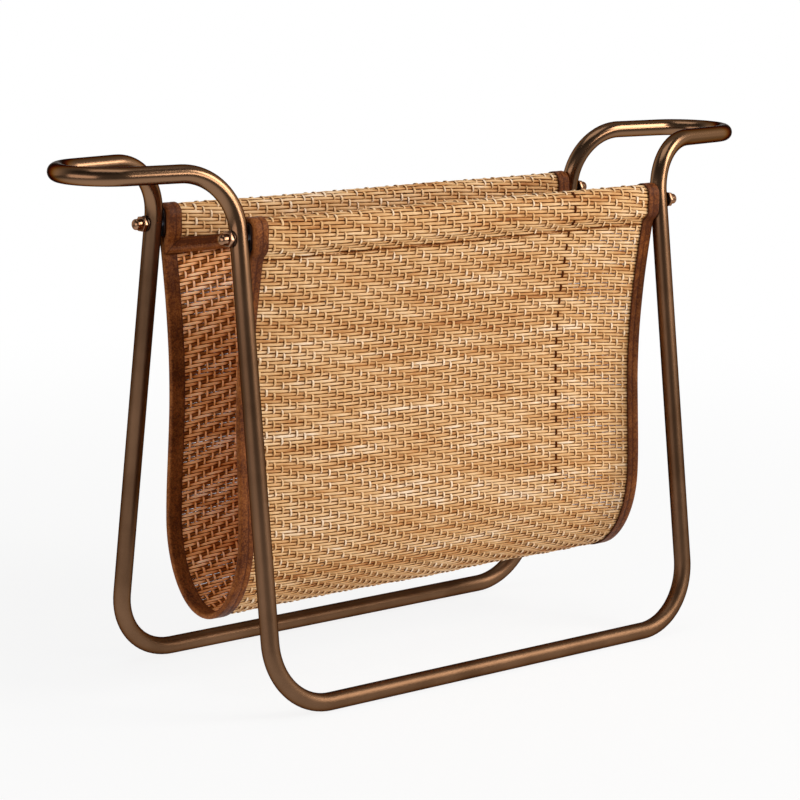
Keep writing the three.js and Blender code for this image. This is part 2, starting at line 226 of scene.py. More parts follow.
def smooth_step(nodes, links, value, start, end, low=0.0, high=1.0):
    """A value eased from low to high while the input goes from start to end."""
    step = nodes.new("ShaderNodeMapRange")
    step.interpolation_type = "SMOOTHSTEP"
    numbers = {"From Min": start, "From Max": end, "To Min": low, "To Max": high}
    for label, number in numbers.items():
        step.inputs[label].default_value = number
    links.new(value, step.inputs["Value"])
    return step.outputs["Result"]


def set_bump(nodes, links, shader, height, strength, distance):
    """Fine relief on a shader, from a height and the depth that it stands for."""
    bump = nodes.new("ShaderNodeBump")
    bump.inputs["Strength"].default_value = strength
    bump.inputs["Distance"].default_value = distance
    links.new(height, bump.inputs["Height"])
    links.new(bump.outputs["Normal"], shader.inputs["Normal"])


# Metal finish shared by the tube, the bars and the fasteners: cloudy lacquer or plating,
# faint specks and fine scratches, all read from the piece's own place.
finish, nodes, links, into, out = new_group(
    "metal finish",
    {
        "Deep": ("NodeSocketColor", bronze_deep),
        "Rubbed": ("NodeSocketColor", bronze_rubbed),
        "Smoothest": ("NodeSocketFloat", 0.22),
        "Roughest": ("NodeSocketFloat", 0.34),
        "Cloud scale": ("NodeSocketFloat", 22.0),
    },
    {"Color": "NodeSocketColor", "Roughness": "NodeSocketFloat", "Height": "NodeSocketFloat"},
)
place = nodes.new("ShaderNodeTexCoord").outputs["Object"]
clouds = noise_node(nodes, links, place, into.outputs["Cloud scale"], detail=4)
specks = noise_node(nodes, links, place, 1900, detail=1)
grain = noise_node(nodes, links, place, 620, detail=3, roughness=0.6)
shade = math_node(nodes, links, "MULTIPLY_ADD", specks, 0.35, clouds)
shade = math_node(nodes, links, "MULTIPLY_ADD", shade, 2.2, -0.95)
shade = math_node(nodes, links, "MAXIMUM", shade, 0.0)
shade = math_node(nodes, links, "MINIMUM", shade, 1.0)
links.new(
    mix_node(nodes, links, "RGBA", shade, into.outputs["Deep"], into.outputs["Rubbed"]),
    out.inputs["Color"],
)
dull = math_node(nodes, links, "MULTIPLY", clouds, 0.4)
dull = math_node(nodes, links, "MULTIPLY_ADD", grain, 0.6, dull)
links.new(
    mix_node(nodes, links, "FLOAT", dull, into.outputs["Smoothest"], into.outputs["Roughest"]),
    out.inputs["Roughness"],
)
links.new(grain, out.inputs["Height"])


def metal_material(name, deep, rubbed, smoothest, roughest, cloud_scale, relief, **sockets):
    """A metal with the shared finish at its own colours, gloss and relief."""
    material, nodes, links, shader = new_material(name, **sockets)
    surface = nodes.new("ShaderNodeGroup")
    surface.node_tree = finish
    for label, value in {
        "Deep": deep,
        "Rubbed": rubbed,
        "Smoothest": smoothest,
        "Roughest": roughest,
        "Cloud scale": cloud_scale,
    }.items():
        surface.inputs[label].default_value = value
    links.new(surface.outputs["Color"], shader.inputs["Base Color"])
    links.new(surface.outputs["Roughness"], shader.inputs["Roughness"])
    set_bump(nodes, links, shader, surface.outputs["Height"], relief, 0.02 * millimetre)
    return material


bronze = metal_material(
    "antique bronze lacquer", bronze_deep, bronze_rubbed,
    smoothest=0.18, roughest=0.24, cloud_scale=22, relief=0.06,
    Metallic=1.0, Specular_Tint=(0.08, 0.05, 0.03, 1),
)
nodes, links = bronze.node_tree.nodes, bronze.node_tree.links
surface, shader = nodes["Group"], nodes["Principled BSDF"]
place = nodes.new("ShaderNodeSeparateXYZ")
links.new(nodes.new("ShaderNodeTexCoord").outputs["Object"], place.inputs["Vector"])
# Painted highlight in part: from polish_begins_z up the colour turns lighter, standing both for hand
# polish and for the highlights on the loops.
handled = smooth_step(nodes, links, place.outputs["Z"], polish_begins_z, polish_full_z)
polish_and_highlight = mix_node(nodes, links, "RGBA", handled, surface.outputs["Color"], bronze_polished_highlight)
links.new(polish_and_highlight, shader.inputs["Base Color"])
dulled = math_node(nodes, links, "MULTIPLY_ADD", handled, -polish_gloss, unpolished_dullness)
dulled = math_node(nodes, links, "ADD", surface.outputs["Roughness"], dulled)
links.new(dulled, shader.inputs["Roughness"])
for tube, node in ((left_half, "stand_tube_left"), (right_half, "stand_tube_right")):
    tube.data.name = tube.name
    tube.data.materials.clear()
    tube.data.materials.append(bronze)
    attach(tube, "root")
    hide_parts(node)

# Rail sleeves, hanger bars and their studs. Plain bright zinc-plated steel, cut from bar. A sleeve
# joins the tube halves inside each rail; a flat bar runs through each hem of the sling and
# a stud screwed into its end passes through the leg.
zinc = metal_material(
    "bright zinc plating", (0.30, 0.32, 0.36, 1), (0.55, 0.58, 0.63, 1),
    smoothest=0.25, roughest=0.42, cloud_scale=60, relief=0.4, Metallic=1.0,
)
steel_nodes = []
for row in ("front", "rear"):
    steel_nodes += [f"rail_sleeve_{row}", f"hanger_bar_{row}"]
    steel_nodes += [f"hanger_stud_{row}_{end}" for end in ("left", "right")]
for node in steel_nodes:
    plated = bpy.data.objects[node]
    plated.data.materials.clear()
    plated.data.materials.append(zinc)

# Woven cane panel. Split and twisted straw-coloured cane, woven two over two under so that
# each upright steps down one strand to the right. It is 692 mm long, both ends are turned in
# over a hanger bar and sewn down, and the rest hangs as a pocket.
panel_end = 192.0 * millimetre
upright_pitch = 7.05 * millimetre
upright_drift = 0.8 * millimetre
upright_count = 55
# One upright is drawn as a line of painted shade from dark_upright_begins on.
dark_upright = 15
dark_upright_begins = 0.62
dark_upright_relief = 0.45
strand_pitch = 2.47 * millimetre
pitch_drift = 0.06
strand_half_width = 1.34 * millimetre
strand_half_thickness = 0.62 * millimetre
strand_swing = 0.22 * millimetre
upright_half_width = 1.08 * millimetre
upright_half_thickness = 0.50 * millimetre
upright_swing = 0.78 * millimetre
upright_shoulder = 0.62
# The upright relief numbers set painted shade on the uprights, darker on their inner face.
upright_relief = 1.15
upright_inner_relief = 0.86
strand_sides = 6
strand_rise = np.array([0, 1, 1, 0, -1, -1])
strand_bulge, upright_bulge = 0.35, 0.10
weave_wander = 0.30 * millimetre
strand_tremble = 0.04 * millimetre
strand_scatter = 0.05 * millimetre
strand_clearance = 0.4 * millimetre
cloth_wave = 0.35 * millimetre
# The relief numbers paint shade: sunk strands, strand flanks and the seam creases are drawn darker.
relief_sink = {1: 0.09, 0: 0.0, -1: 0.20}
flank_relief = 0.42
crease_width = 0.9 * millimetre
leather_edge_x = 180.5 * millimetre
cane_colours = [
    (0.00, (0.40, 0.150, 0.040, 1)),
    (0.20, (0.60, 0.295, 0.105, 1)),
    (0.50, (0.75, 0.450, 0.205, 1)),
    (0.80, (0.86, 0.58, 0.320, 1)),
    (1.00, (0.93, 0.73, 0.530, 1)),
]
# Painted shade: the gap colour fills the hollows between strands and the flank tint darkens their sides.
cane_gap_shade = (0.085, 0.018, 0.002, 1)
cane_flank_shade = (0.66, 0.41, 0.17, 1)
# The inner face is drawn pinker and half as bright again: partly its own colour, partly painted light
# inside the pocket.
cane_inner_tint = (1.50, 1.27, 1.20, 1)


def bezier(a, b, c, d, steps):
    """Points of a cubic curve, without its first."""
    a, b, c, d = (np.array(p, float) for p in (a, b, c, d))
    t = np.linspace(0, 1, steps + 1)[1:, None]
    return (1 - t) ** 3 * a + 3 * (1 - t) ** 2 * t * b + 3 * (1 - t) * t**2 * c + t**3 * d


seam_lean = 0.1779
hem_end, hem_top = (43.863, 305.1), (44.557, 309.0)
loop_inner, loop_outer = (42.257, 320.0), (54.857, 320.0)
loop_pull, loop_low_z, loop_high_z = 6.05, 313.95, 315.05
seam, waist = (48.857, 309.0), (38.1, 205.0)
flank_pull, flank_high_z, flank_low_z = 26, 283.0, 244.52
loop_y, loop_z, loop_radius = 48.557, 331.0, 6.3
belly_swell, belly_fall = 3.4, 87
belly_y, belly_z, floor_drop = 41.5, 118, 64.1
turn = np.linspace(math.pi, 0, 41)[:, None]
fall = np.linspace(0, 1, 61)[1:, None]
bowl = np.linspace(0, math.pi / 2, 81)[1:, None]
above_hem = (hem_top[0] + seam_lean * loop_pull, loop_high_z)
above_seam = (seam[0] + seam_lean * loop_pull, loop_high_z)
below_seam = (seam[0] - seam_lean * flank_pull, flank_high_z)
half_line = np.concatenate([
    np.array([hem_end, hem_top]),
    bezier(hem_top, above_hem, (loop_inner[0], loop_low_z), loop_inner, 16),
    loop_radius * np.hstack([np.cos(turn), np.sin(turn)]) + (loop_y, loop_z),
    np.array([loop_outer]),
    bezier(loop_outer, (loop_outer[0], loop_low_z), above_seam, seam, 16),
    bezier(seam, below_seam, (waist[0], flank_low_z), waist, 60),
    np.hstack([waist[0] + belly_swell * (1 - np.cos(math.pi * fall)) / 2, waist[1] - belly_fall * fall]),
    np.hstack([belly_y * np.cos(bowl), belly_z - floor_drop * np.sin(bowl)]),
])
panel_line = np.concatenate([half_line, half_line[-2::-1] * (-1, 1)]) * millimetre
line_steps = np.linalg.norm(np.diff(panel_line, axis=0), axis=1)
line_places = np.concatenate([[0], np.cumsum(line_steps)])
panel_length = line_places[-1]
even_places = np.linspace(0, panel_length, 2769)
even_line = np.stack(
    [np.interp(even_places, line_places, column) for column in panel_line.T], axis=1
)
even_tangent = np.gradient(even_line, even_places, axis=0)
soften = np.hanning(9) / np.hanning(9).sum()
for axis in (0, 1):
    padded = np.pad(even_tangent[:, axis], 4, mode="edge")
    even_tangent[:, axis] = np.convolve(padded, soften, mode="valid")
even_tangent /= np.linalg.norm(even_tangent, axis=1)[:, None]


def on_panel(x, along, out):
    """Points of the hanging panel: x across, a place along its line, and a distance outwards."""
    x, along, out = np.broadcast_arrays(x, along, out)
    y, z, ty, tz = (
        np.interp(along, even_places, column)
        for column in (*even_line.T, *even_tangent.T)
    )
    middle = np.clip(1 - np.abs(along / panel_length * 2 - 1) ** 4, 0, 1)
    inside = np.clip((panel_end - np.abs(x)) / (40 * millimetre), 0, 1)
    wave = np.sin(x * 31 + along * 23) + 0.8 * np.sin(x * 17 - along * 41 + 1.3)
    wave = wave + 0.6 * np.sin(x * 53 + along * 9 + 4)
    lift = out + cloth_wave * wave * middle * inside
    return np.stack([x, y - tz * lift, z + ty * lift], axis=-1)


def mesh_of_strips(name, rings, strand_data, relief):
    """A closed mesh of strands: rings is strands by stations by sides by 3."""
    count, stations, sides, _ = rings.shape
    index = np.arange(count * stations * sides).reshape(count, stations, sides)
    around = np.roll(index, -1, axis=2)
    walls = np.stack([index[:, :-1], around[:, :-1], around[:, 1:], index[:, 1:]], axis=-1)
    start, end = index[:, 0], index[:, -1]
    caps = [start[:, [3, 2, 1, 0]], start[:, [5, 4, 3, 0]], end[:, [0, 1, 2, 3]], end[:, [0, 3, 4, 5]]]
    quads = np.concatenate([walls.reshape(-1, 4), *caps])
    mesh = bpy.data.meshes.new(name)
    mesh.vertices.add(index.size)
    mesh.vertices.foreach_set("co", rings.reshape(-1).astype(np.float32))
    mesh.loops.add(quads.size)
    mesh.loops.foreach_set("vertex_index", quads.reshape(-1).astype(np.int32))
    mesh.polygons.add(len(quads))
    mesh.polygons.foreach_set("loop_start", np.arange(0, quads.size, 4, dtype=np.int32))
    mesh.polygons.foreach_set("use_smooth", np.ones(len(quads), bool))
    mesh.update(calc_edges=True)
    mesh.validate()
    attribute = mesh.attributes.new("strand", "FLOAT_VECTOR", "POINT")
    attribute.data.foreach_set("vector", strand_data.reshape(-1).astype(np.float32))
    attribute = mesh.attributes.new("relief", "FLOAT_VECTOR", "POINT")
    attribute.data.foreach_set("vector", relief.reshape(-1).astype(np.float32))
    piece = bpy.data.objects.new(name, mesh)
    bpy.context.scene.collection.objects.link(piece)
    return piece


def skew(x):
    """How far the cross strands have slipped along the panel at x: it is cut out of square."""
    return -(0.033 * x + 0.63 * ((x + 0.02) ** 3 - 0.02**3))


chance = np.random.default_rng(7)
strand_spares = 6
strand_count = int(panel_length / strand_pitch) + 2 * strand_spares
strand_turns = (np.arange(strand_count) - strand_spares + 0.5) / (strand_count - 2 * strand_spares)
even_strand_places = panel_length * (
    strand_turns + pitch_drift / (2 * math.pi) * np.sin(2 * math.pi * strand_turns)
)
strand_places = even_strand_places + chance.normal(0, strand_scatter, strand_count)
strand_width = strand_half_width * np.gradient(even_strand_places) / strand_pitch
strand_width = strand_width * (1 + chance.normal(0, 0.03, strand_count))
band = np.convolve(chance.random(strand_count + 6), np.hanning(9)[1:-1] / 4, mode="valid")
strand_tone = 0.5 * chance.random(strand_count) + 0.5 * (band - band.min()) / np.ptp(band)
strand_tone = np.clip(strand_tone, 0, 1)
upright_numbers = np.arange(upright_count) - upright_count // 2
upright_x = upright_pitch * upright_numbers + upright_drift * np.sin(upright_numbers * 0.52 + 1.6)
fine_x = np.linspace(-panel_end, panel_end, 1537)
across_x = np.interp(np.arange(3 * upright_count - 2) / 3, np.arange(upright_count), upright_x)
across_x = np.concatenate([[-panel_end], across_x, [panel_end]])
seam_gap = np.linalg.norm(even_line - np.array(seam) * millimetre, axis=1)
seam_place = even_places[int(np.argmin(seam_gap))]


def above(strand, upright):
    """1 where the strand lies outside the upright, -1 where it lies inside."""
    return np.where((strand + upright) % 4 < 2, 1.0, -1.0)


def under_leather(x):
    """How flat the weave is pressed, 1 in the open and less under the leather strips."""
    return 1 - 0.3 * np.clip((np.abs(x) - leather_edge_x) / (1.5 * millimetre), 0, 1)


def flat_oval(half_width, shoulder, half_thickness):
    """Six points round a strand: how far each lies sideways and how far outwards."""
    sideways = np.stack([half_width, half_width * shoulder, -half_width * shoulder], axis=-1)
    sideways = np.concatenate([sideways, -sideways], axis=-1)
    return sideways, half_thickness[..., None] * strand_rise


def relief_of(calm, swing, along):
    """How clear of its neighbours each point is, which the material paints as shade, and which face of
    the cane it is on.
    """
    relief = np.zeros((*swing.shape, strand_sides, 3))
    for side, rise in enumerate(strand_rise):
        sink = relief_sink[rise]
        relief[..., side, 0] = 1 - sink + sink * swing * rise if rise else flank_relief * calm
        relief[..., side, 1] = rise
    # Painted shade in the seam creases: relief drops there, most on the flanks.
    for place in (seam_place, panel_length - seam_place):
        crease = np.exp(-(((along - place) / crease_width) ** 2))
        relief[..., 0] *= 1 - crease * np.where(strand_rise == 0, 1.0, 0.4)
    return relief


def strand_rings(numbers):
    """The rings, strand data and relief of the cross strands with these numbers."""
    lying = strand_places[numbers][:, None] + skew(fine_x)[None]
    kept = (lying > strand_clearance) & (lying < panel_length - strand_clearance)
    numbers, kept = numbers[kept.any(axis=1)][:, None], kept[kept.any(axis=1)]
    first = fine_x[kept.argmax(axis=1)][:, None]
    last = fine_x[-1 - kept[:, ::-1].argmax(axis=1)][:, None]
    x = first + (across_x[None] + panel_end) * (last - first) / (2 * panel_end)
    step = np.interp(x, upright_x, upright_numbers)
    step = step + (x - np.clip(x, *upright_x[[0, -1]])) / upright_pitch
    left = np.floor(step + 1e-6).astype(int)
    between = step - left
    here, there = above(numbers, left), above(numbers, left + 1)
    swing = (here + there) / 2 + (here - there) / 2 * np.cos(math.pi * between)
    bulge = strand_bulge * (here + there) / 2 * np.sin(math.pi * between)
    wander = weave_wander * np.sin(x * 48 + numbers * 0.31)
    wander = wander + strand_tremble * np.sin(x * 131 + numbers * 5.1)
    along = strand_places[numbers] + skew(x) + wander
    calm = swing**2
    local = 1 + 0.06 * np.sin(x * 210 + numbers * 17.0)
    width = strand_width[numbers] * (1.12 - 0.23 * calm)
    shoulder = (0.42 + 0.20 * calm) * local
    thick = strand_half_thickness * (0.88 + 0.12 * calm)
    sideways, outwards = flat_oval(width, shoulder, thick)
    rings = on_panel(
        x[:, :, None],
        along[:, :, None] + sideways,
        (strand_swing * (swing + bulge)[:, :, None] + outwards) * under_leather(x)[:, :, None],
    )
    data = np.empty(rings.shape)
    data[..., 0] = x[:, :, None]
    data[..., 1] = strand_tone[numbers][:, :, None]
    data[..., 2] = np.arange(strand_sides) / strand_sides
    return rings, data, relief_of(calm, swing, along[:, :, None] + sideways)


cane, nodes, links, shader = new_material("straw cane", Specular_IOR_Level=0.12)
strand = nodes.new("ShaderNodeAttribute")
strand.attribute_name = "strand"
parts = nodes.new("ShaderNodeSeparateXYZ")
links.new(strand.outputs["Vector"], parts.inputs["Vector"])
drawn_out = []
for scales in ((38.0, 430.0, 0.6), (60.0, 700.0, 9.0)):
    vector = nodes.new("ShaderNodeCombineXYZ")
    for axis, scale in zip("XYZ", scales):
        scaled = math_node(nodes, links, "MULTIPLY", parts.outputs[axis], scale)
        links.new(scaled, vector.inputs[axis])
    drawn_out.append(vector.outputs["Vector"])
drift = noise_node(nodes, links, drawn_out[0], 1.0, detail=3, roughness=0.6)
fibres = noise_node(nodes, links, drawn_out[1], 1.0, detail=2)
lengthways = nodes.new("ShaderNodeMapping")
lengthways.inputs["Scale"].default_value = (11, 130, 130)
links.new(nodes.new("ShaderNodeTexCoord").outputs["Object"], lengthways.inputs["Vector"])
patches = noise_node(nodes, links, lengthways.outputs["Vector"], 1.0, detail=2)
tone = math_node(nodes, links, "MULTIPLY_ADD", parts.outputs["Y"], 0.40, -1.20)
tone = math_node(nodes, links, "MULTIPLY_ADD", patches, 1.50, tone)
tone = math_node(nodes, links, "MULTIPLY_ADD", drift, 1.10, tone)
tone = math_node(nodes, links, "MULTIPLY_ADD", fibres, 0.45, tone)
straw = ramp_node(nodes, links, tone, cane_colours)
relief = nodes.new("ShaderNodeAttribute")
relief.attribute_name = "relief"
faces = nodes.new("ShaderNodeSeparateXYZ")
links.new(relief.outputs["Vector"], faces.inputs["Vector"])
# Inner face: pinker, and painted brighter as light inside the pocket.
inner_face = math_node(nodes, links, "LESS_THAN", faces.outputs["Y"], -0.02)
tinted = mix_node(nodes, links, "RGBA", inner_face, straw, cane_inner_tint, blend="MULTIPLY")
# Painted shade from relief: gap colour in the hollows, a darker flank tint below each crown.
raised = smooth_step(nodes, links, faces.outputs["X"], 0.47, 0.79)
crown = smooth_step(nodes, links, faces.outputs["X"], 0.62, 0.98)
flank_shaded = mix_node(nodes, links, "RGBA", 1.0, tinted, cane_flank_shade, blend="MULTIPLY")
tinted = mix_node(nodes, links, "RGBA", crown, flank_shaded, tinted)
cane_colour = mix_node(nodes, links, "RGBA", raised, cane_gap_shade, tinted)
links.new(cane_colour, shader.inputs["Base Color"])
dull_gaps = mix_node(nodes, links, "FLOAT", raised, 0.95, 0.50)
links.new(dull_gaps, shader.inputs["Roughness"])
set_bump(nodes, links, shader, fibres, 0.5, 0.12 * millimetre)

upright_tone = 0.85 + 0.35 * chance.random(upright_count)
upright_places = np.linspace(0, panel_length, 2 * strand_count + 1)
upright_pieces = []
for name, numbers in (
    ("cane_uprights_left", np.arange(-27, -9)),
    ("cane_uprights_middle", np.arange(-9, 10)),
    ("cane_uprights_right", np.arange(10, 28)),
):
    column = numbers[:, None]
    middle_x = upright_x[column + upright_count // 2]
    slipped = upright_places[None] - skew(middle_x)
    step = np.interp(slipped, even_strand_places, np.arange(strand_count))
    lower = np.floor(step + 1e-9).astype(int)
    between = step - lower
    here, there = -above(lower, column), -above(lower + 1, column)
    swing = (here + there) / 2 + (here - there) / 2 * np.cos(math.pi * between)
    swing = np.sign(swing) * np.abs(swing) ** 0.7
    bulge = upright_bulge * (here + there) / 2 * np.sin(math.pi * between)
    wander = weave_wander * np.sin(upright_places * 43 + column * 2.1)
    width = upright_half_width * (1 + 0.10 * np.sin(upright_places * 91 + column * 3.7))
    width = width * (1 + 0.10 * np.cos(column * 7.3))
    thick = np.full_like(width, upright_half_thickness)
    sideways, outwards = flat_oval(width, upright_shoulder, thick)
    out = upright_swing * (swing + bulge)[..., None] + outwards
    x = middle_x[..., None] + wander[..., None] - sideways
    rings = on_panel(x, upright_places[None, :, None], out * under_leather(x))
    data = np.empty(rings.shape)
    data[..., 0] = upright_places[None, :, None]
    data[..., 1] = upright_tone[column + upright_count // 2][..., None]
    data[..., 2] = np.arange(strand_sides) / strand_sides
    relief = relief_of(upright_relief, swing, upright_places[None, :, None])
    relief[..., 3:, 0] *= upright_inner_relief
    # Painted shade: one upright is drawn dark from dark_upright_begins on, as a line of shade.
    dark = (column == dark_upright) & (upright_places > dark_upright_begins * panel_length)
    relief[..., 0] *= np.where(dark, dark_upright_relief, 1.0)[..., None]
    upright_pieces.append(mesh_of_strips(name, rings, data, relief))

strand_pieces = []
region_edges = np.linspace(0, strand_count, 6).astype(int)
region_names = ["rear_hem", "rear_wall", "floor", "front_wall", "front_hem"]
for name, first, last in zip(region_names, region_edges, region_edges[1:]):
    strand_pieces.append(
        mesh_of_strips(f"cane_strands_{name}", *strand_rings(np.arange(first, last)))
    )

# Side edgings. A strip of saddle-brown pebbled leather is folded over each end of the panel,
# 12 mm wide on both faces, glued and pressed with a crease line. It follows the panel round
# both hems, and its ends are cut at 45 degrees to meet the hem strips.
edging_width = 12 * millimetre
edging_outer = 193.43 * millimetre
leather_half = 2.0 * millimetre
leather_thickness = 0.8 * millimetre
leather_overhang = 1.1 * millimetre
leather_lip = 0.35 * millimetre
mitre_gap = 0.25 * millimetre
side_crease, hem_crease = 0.58, 0.34
cut_end_mark = 2.4
leather_colours = [
    (0.00, (0.080, 0.019, 0.004, 1)),
    (0.45, (0.210, 0.060, 0.012, 1)),
    (1.00, (0.380, 0.135, 0.034, 1)),
]


def folded_section(crease):
    """The section of a folded strip, creased at a share of its width: run and height."""
    outer, inner = leather_half, leather_half - leather_thickness
    arc = np.linspace(0, math.pi / 2, 7)
    lip = leather_lip
    top = [(edging_width, inner + 0.05 * millimetre), (edging_width, outer - lip)]
    top += [(edging_width - lip * (1 - math.cos(a)), outer - lip * (1 - math.sin(a))) for a in arc[1:4]]
    top += [(edging_width * share, outer) for share in (0.94, 0.82)]
    for share, dip in ((0.12, 0), (0.05, 0.10), (0, 0.22), (-0.05, 0.10), (-0.12, 0)):
        top.append((edging_width * (crease + share), outer - dip * millimetre))
    top += [(outer - outer * math.sin(a), outer * math.cos(a)) for a in arc[:-1]]
    middle = [(0.0, 0.0)]
    bottom = [(far, -high) for far, high in reversed(top)]
    hollow = [(leather_half, -inner), (leather_half, inner)]
    return np.array(top + middle + bottom + hollow)


def leather_mesh(name, rings, marks):
    """A closed strip from rings, its ends filled, with a mark for every point: worn and burnished
    places, painted highlight and painted shade.
    """
    stations, sides, _ = rings.shape
    index = np.arange(stations * sides).reshape(stations, sides)
    around = np.roll(index, -1, axis=1)
    walls = np.stack([index[:-1], around[:-1], around[1:], index[1:]], axis=-1).reshape(-1, 4)
    faces = walls.tolist() + [index[0, ::-1].tolist(), index[-1].tolist()]
    mesh = bpy.data.meshes.new(name)
    mesh.from_pydata(rings.reshape(-1, 3).tolist(), [], faces)
    mesh.attributes.new("wear_and_painted_light", "FLOAT", "POINT").data.foreach_set("value", marks.reshape(-1))
    piece = bpy.data.objects.new(name, mesh)
    bpy.context.scene.collection.objects.link(piece)
    close_and_smooth(piece, 50)
    return piece


def wear_and_light_marks(section, crease, both_faces):
    """Lighter along the fold, as worn leather and a painted highlight, painted shade in the crease, and
    darker at the burnished cut edge.
    """
    run, high = section.T
    mark = np.clip(1 - np.abs(run - 0.3 * millimetre) / (1.1 * millimetre), 0, 1)
    mark = mark - 2.6 * np.clip((run / edging_width - 0.93) / 0.06, 0, 1)
    pressed = np.clip(1 - np.abs(run / edging_width - crease) / 0.07, 0, 1)
    return mark - (0.9 if both_faces else 1.8 * (high > 0)) * pressed


section = folded_section(side_crease)
mark = wear_and_light_marks(section, side_crease, False)
whole = panel_length + 2 * leather_overhang
shares = np.array([0, 0.05, 0.2, 0.4, 0.6, 0.8, 1])[:, None]
reach = np.minimum(section[:, 0], edging_width)
mitre = (1 - shares) * reach + shares * edging_width
body_places = np.linspace(edging_width, whole - edging_width, 340)[1:-1]
middle = np.repeat(body_places[:, None], len(section), axis=1)
along = np.concatenate([mitre, middle, whole - mitre[::-1]]) - leather_overhang
swell = 1 + 0.02 * np.sin(along * 160)
before = np.minimum(along, 0)[..., None]
after = np.maximum(along - panel_length, 0)[..., None]
start_way = np.array([0, *even_tangent[0]])
end_way = np.array([0, *even_tangent[-1]])
marks = np.repeat(mark[None], len(along), axis=0)
marks[[0, -1]] -= cut_end_mark
side_edgings = []
for name, side in (("leather_side_left", -1), ("leather_side_right", 1)):
    across = side * (edging_outer - section[None, :, 0])
    rings = on_panel(across, along, section[None, :, 1] * swell)
    rings = rings + before * start_way + after * end_way
    side_edgings.append(leather_mesh(name, rings, marks))

pebbles, nodes, links, into, out = new_group(
    "pebbled leather",
    {"Scale": ("NodeSocketFloat", 900.0)},
    {"Tone": "NodeSocketFloat", "Height": "NodeSocketFloat"},
)
place = nodes.new("ShaderNodeTexCoord").outputs["Object"]
cells = nodes.new("ShaderNodeTexVoronoi")
cells.feature = "SMOOTH_F1"
links.new(place, cells.inputs["Vector"])
links.new(into.outputs["Scale"], cells.inputs["Scale"])
creases = noise_node(nodes, links, place, 340, detail=3)
patches = noise_node(nodes, links, place, 45, detail=3)
height = math_node(nodes, links, "MULTIPLY_ADD", cells.outputs["Distance"], -0.8, creases)
links.new(height, out.inputs["Height"])
tone = math_node(nodes, links, "MULTIPLY_ADD", cells.outputs["Distance"], -0.55, patches)
tone = math_node(nodes, links, "MULTIPLY_ADD", creases, 0.45, tone)
links.new(tone, out.inputs["Tone"])

leather, nodes, links, shader = new_material(
    "saddle leather", Roughness=0.55, Specular_IOR_Level=0.12
)
surface = nodes.new("ShaderNodeGroup")
surface.node_tree = pebbles
wear_and_painted_light = nodes.new("ShaderNodeAttribute")
wear_and_painted_light.attribute_name = "wear_and_painted_light"
tone = math_node(nodes, links, "MULTIPLY_ADD", surface.outputs["Tone"], 1.5, -0.46)
# Painted highlight along the fold and painted shade in the crease, with the burnished dark cut edges.
tone = math_node(nodes, links, "MULTIPLY_ADD", wear_and_painted_light.outputs["Fac"], 0.28, tone)
links.new(ramp_node(nodes, links, tone, leather_colours), shader.inputs["Base Color"])
set_bump(nodes, links, shader, surface.outputs["Height"], 0.8, 0.25 * millimetre)

# Hem edgings. The same leather, folded over the turned-in end of each hem inside the pocket
# and sewn through with one row of brown thread in a crease near its fold. Its ends are cut
# at 45 degrees against the side strips.
stitch_pitch = 3.4 * millimetre
stitch_half_length = 1.35 * millimetre
stitch_half_width = 0.32 * millimetre
hem_seam_inset = 3.0 * millimetre
thread_colours = [(0.3, (0.12, 0.035, 0.010, 1)), (0.7, (0.30, 0.105, 0.035, 1))]

section = folded_section(hem_crease)
mark = wear_and_light_marks(section, hem_crease, True)
stations = np.concatenate([[-1, -0.9965], np.linspace(-0.985, 0.985, 148), [0.9965, 1]])
x = stations[:, None] * (edging_outer - section[:, 0] - mitre_gap)[None]
depth = np.broadcast_to(section[None, :, 0] - leather_overhang, x.shape)
past_end = np.minimum(depth, 0)[..., None]
marks = np.repeat(mark[None], len(stations), axis=0)
marks[[0, -1]] -= cut_end_mark
hem_edgings = []
for name, along, way in (
    ("leather_hem_rear", depth, start_way),
    ("leather_hem_front", panel_length - depth, -end_way),
):
    rings = on_panel(x, along, section[None, :, 1]) + past_end * way
    hem_edgings.append(leather_mesh(name, rings, marks))


def stitch_row(name, along, out, end_x):
    """A row of short sewn stitches across the panel, each a small closed capsule."""
    centres = np.arange(-end_x, end_x, stitch_pitch)
    angle = np.arange(strand_sides) / strand_sides * 2 * math.pi
    lengths = np.array([-1.0, -0.8, 0.0, 0.8, 1.0]) * stitch_half_length
    thick = stitch_half_width * np.array([0.35, 0.85, 1.0, 0.85, 0.35])[:, None]
    rise = np.array([-0.45, -0.1, 0.15, -0.1, -0.45])[:, None] * stitch_half_width
    x = centres[:, None, None] + lengths[None, :, None]
    rings = on_panel(x, along + thick * np.cos(angle), out + rise + thick * np.sin(angle))
    data = np.zeros(rings.shape)
    data[..., 0] = x
    return mesh_of_strips(name, rings, data, np.ones(rings.shape))


thread, nodes, links, shader = new_material(
    "brown waxed thread", Roughness=0.6, Specular_IOR_Level=0.1
)
place = nodes.new("ShaderNodeTexCoord").outputs["Object"]
twist = noise_node(nodes, links, place, 2600, detail=1)
links.new(ramp_node(nodes, links, twist, thread_colours), shader.inputs["Base Color"])
set_bump(nodes, links, shader, twist, 0.5, 0.05 * millimetre)

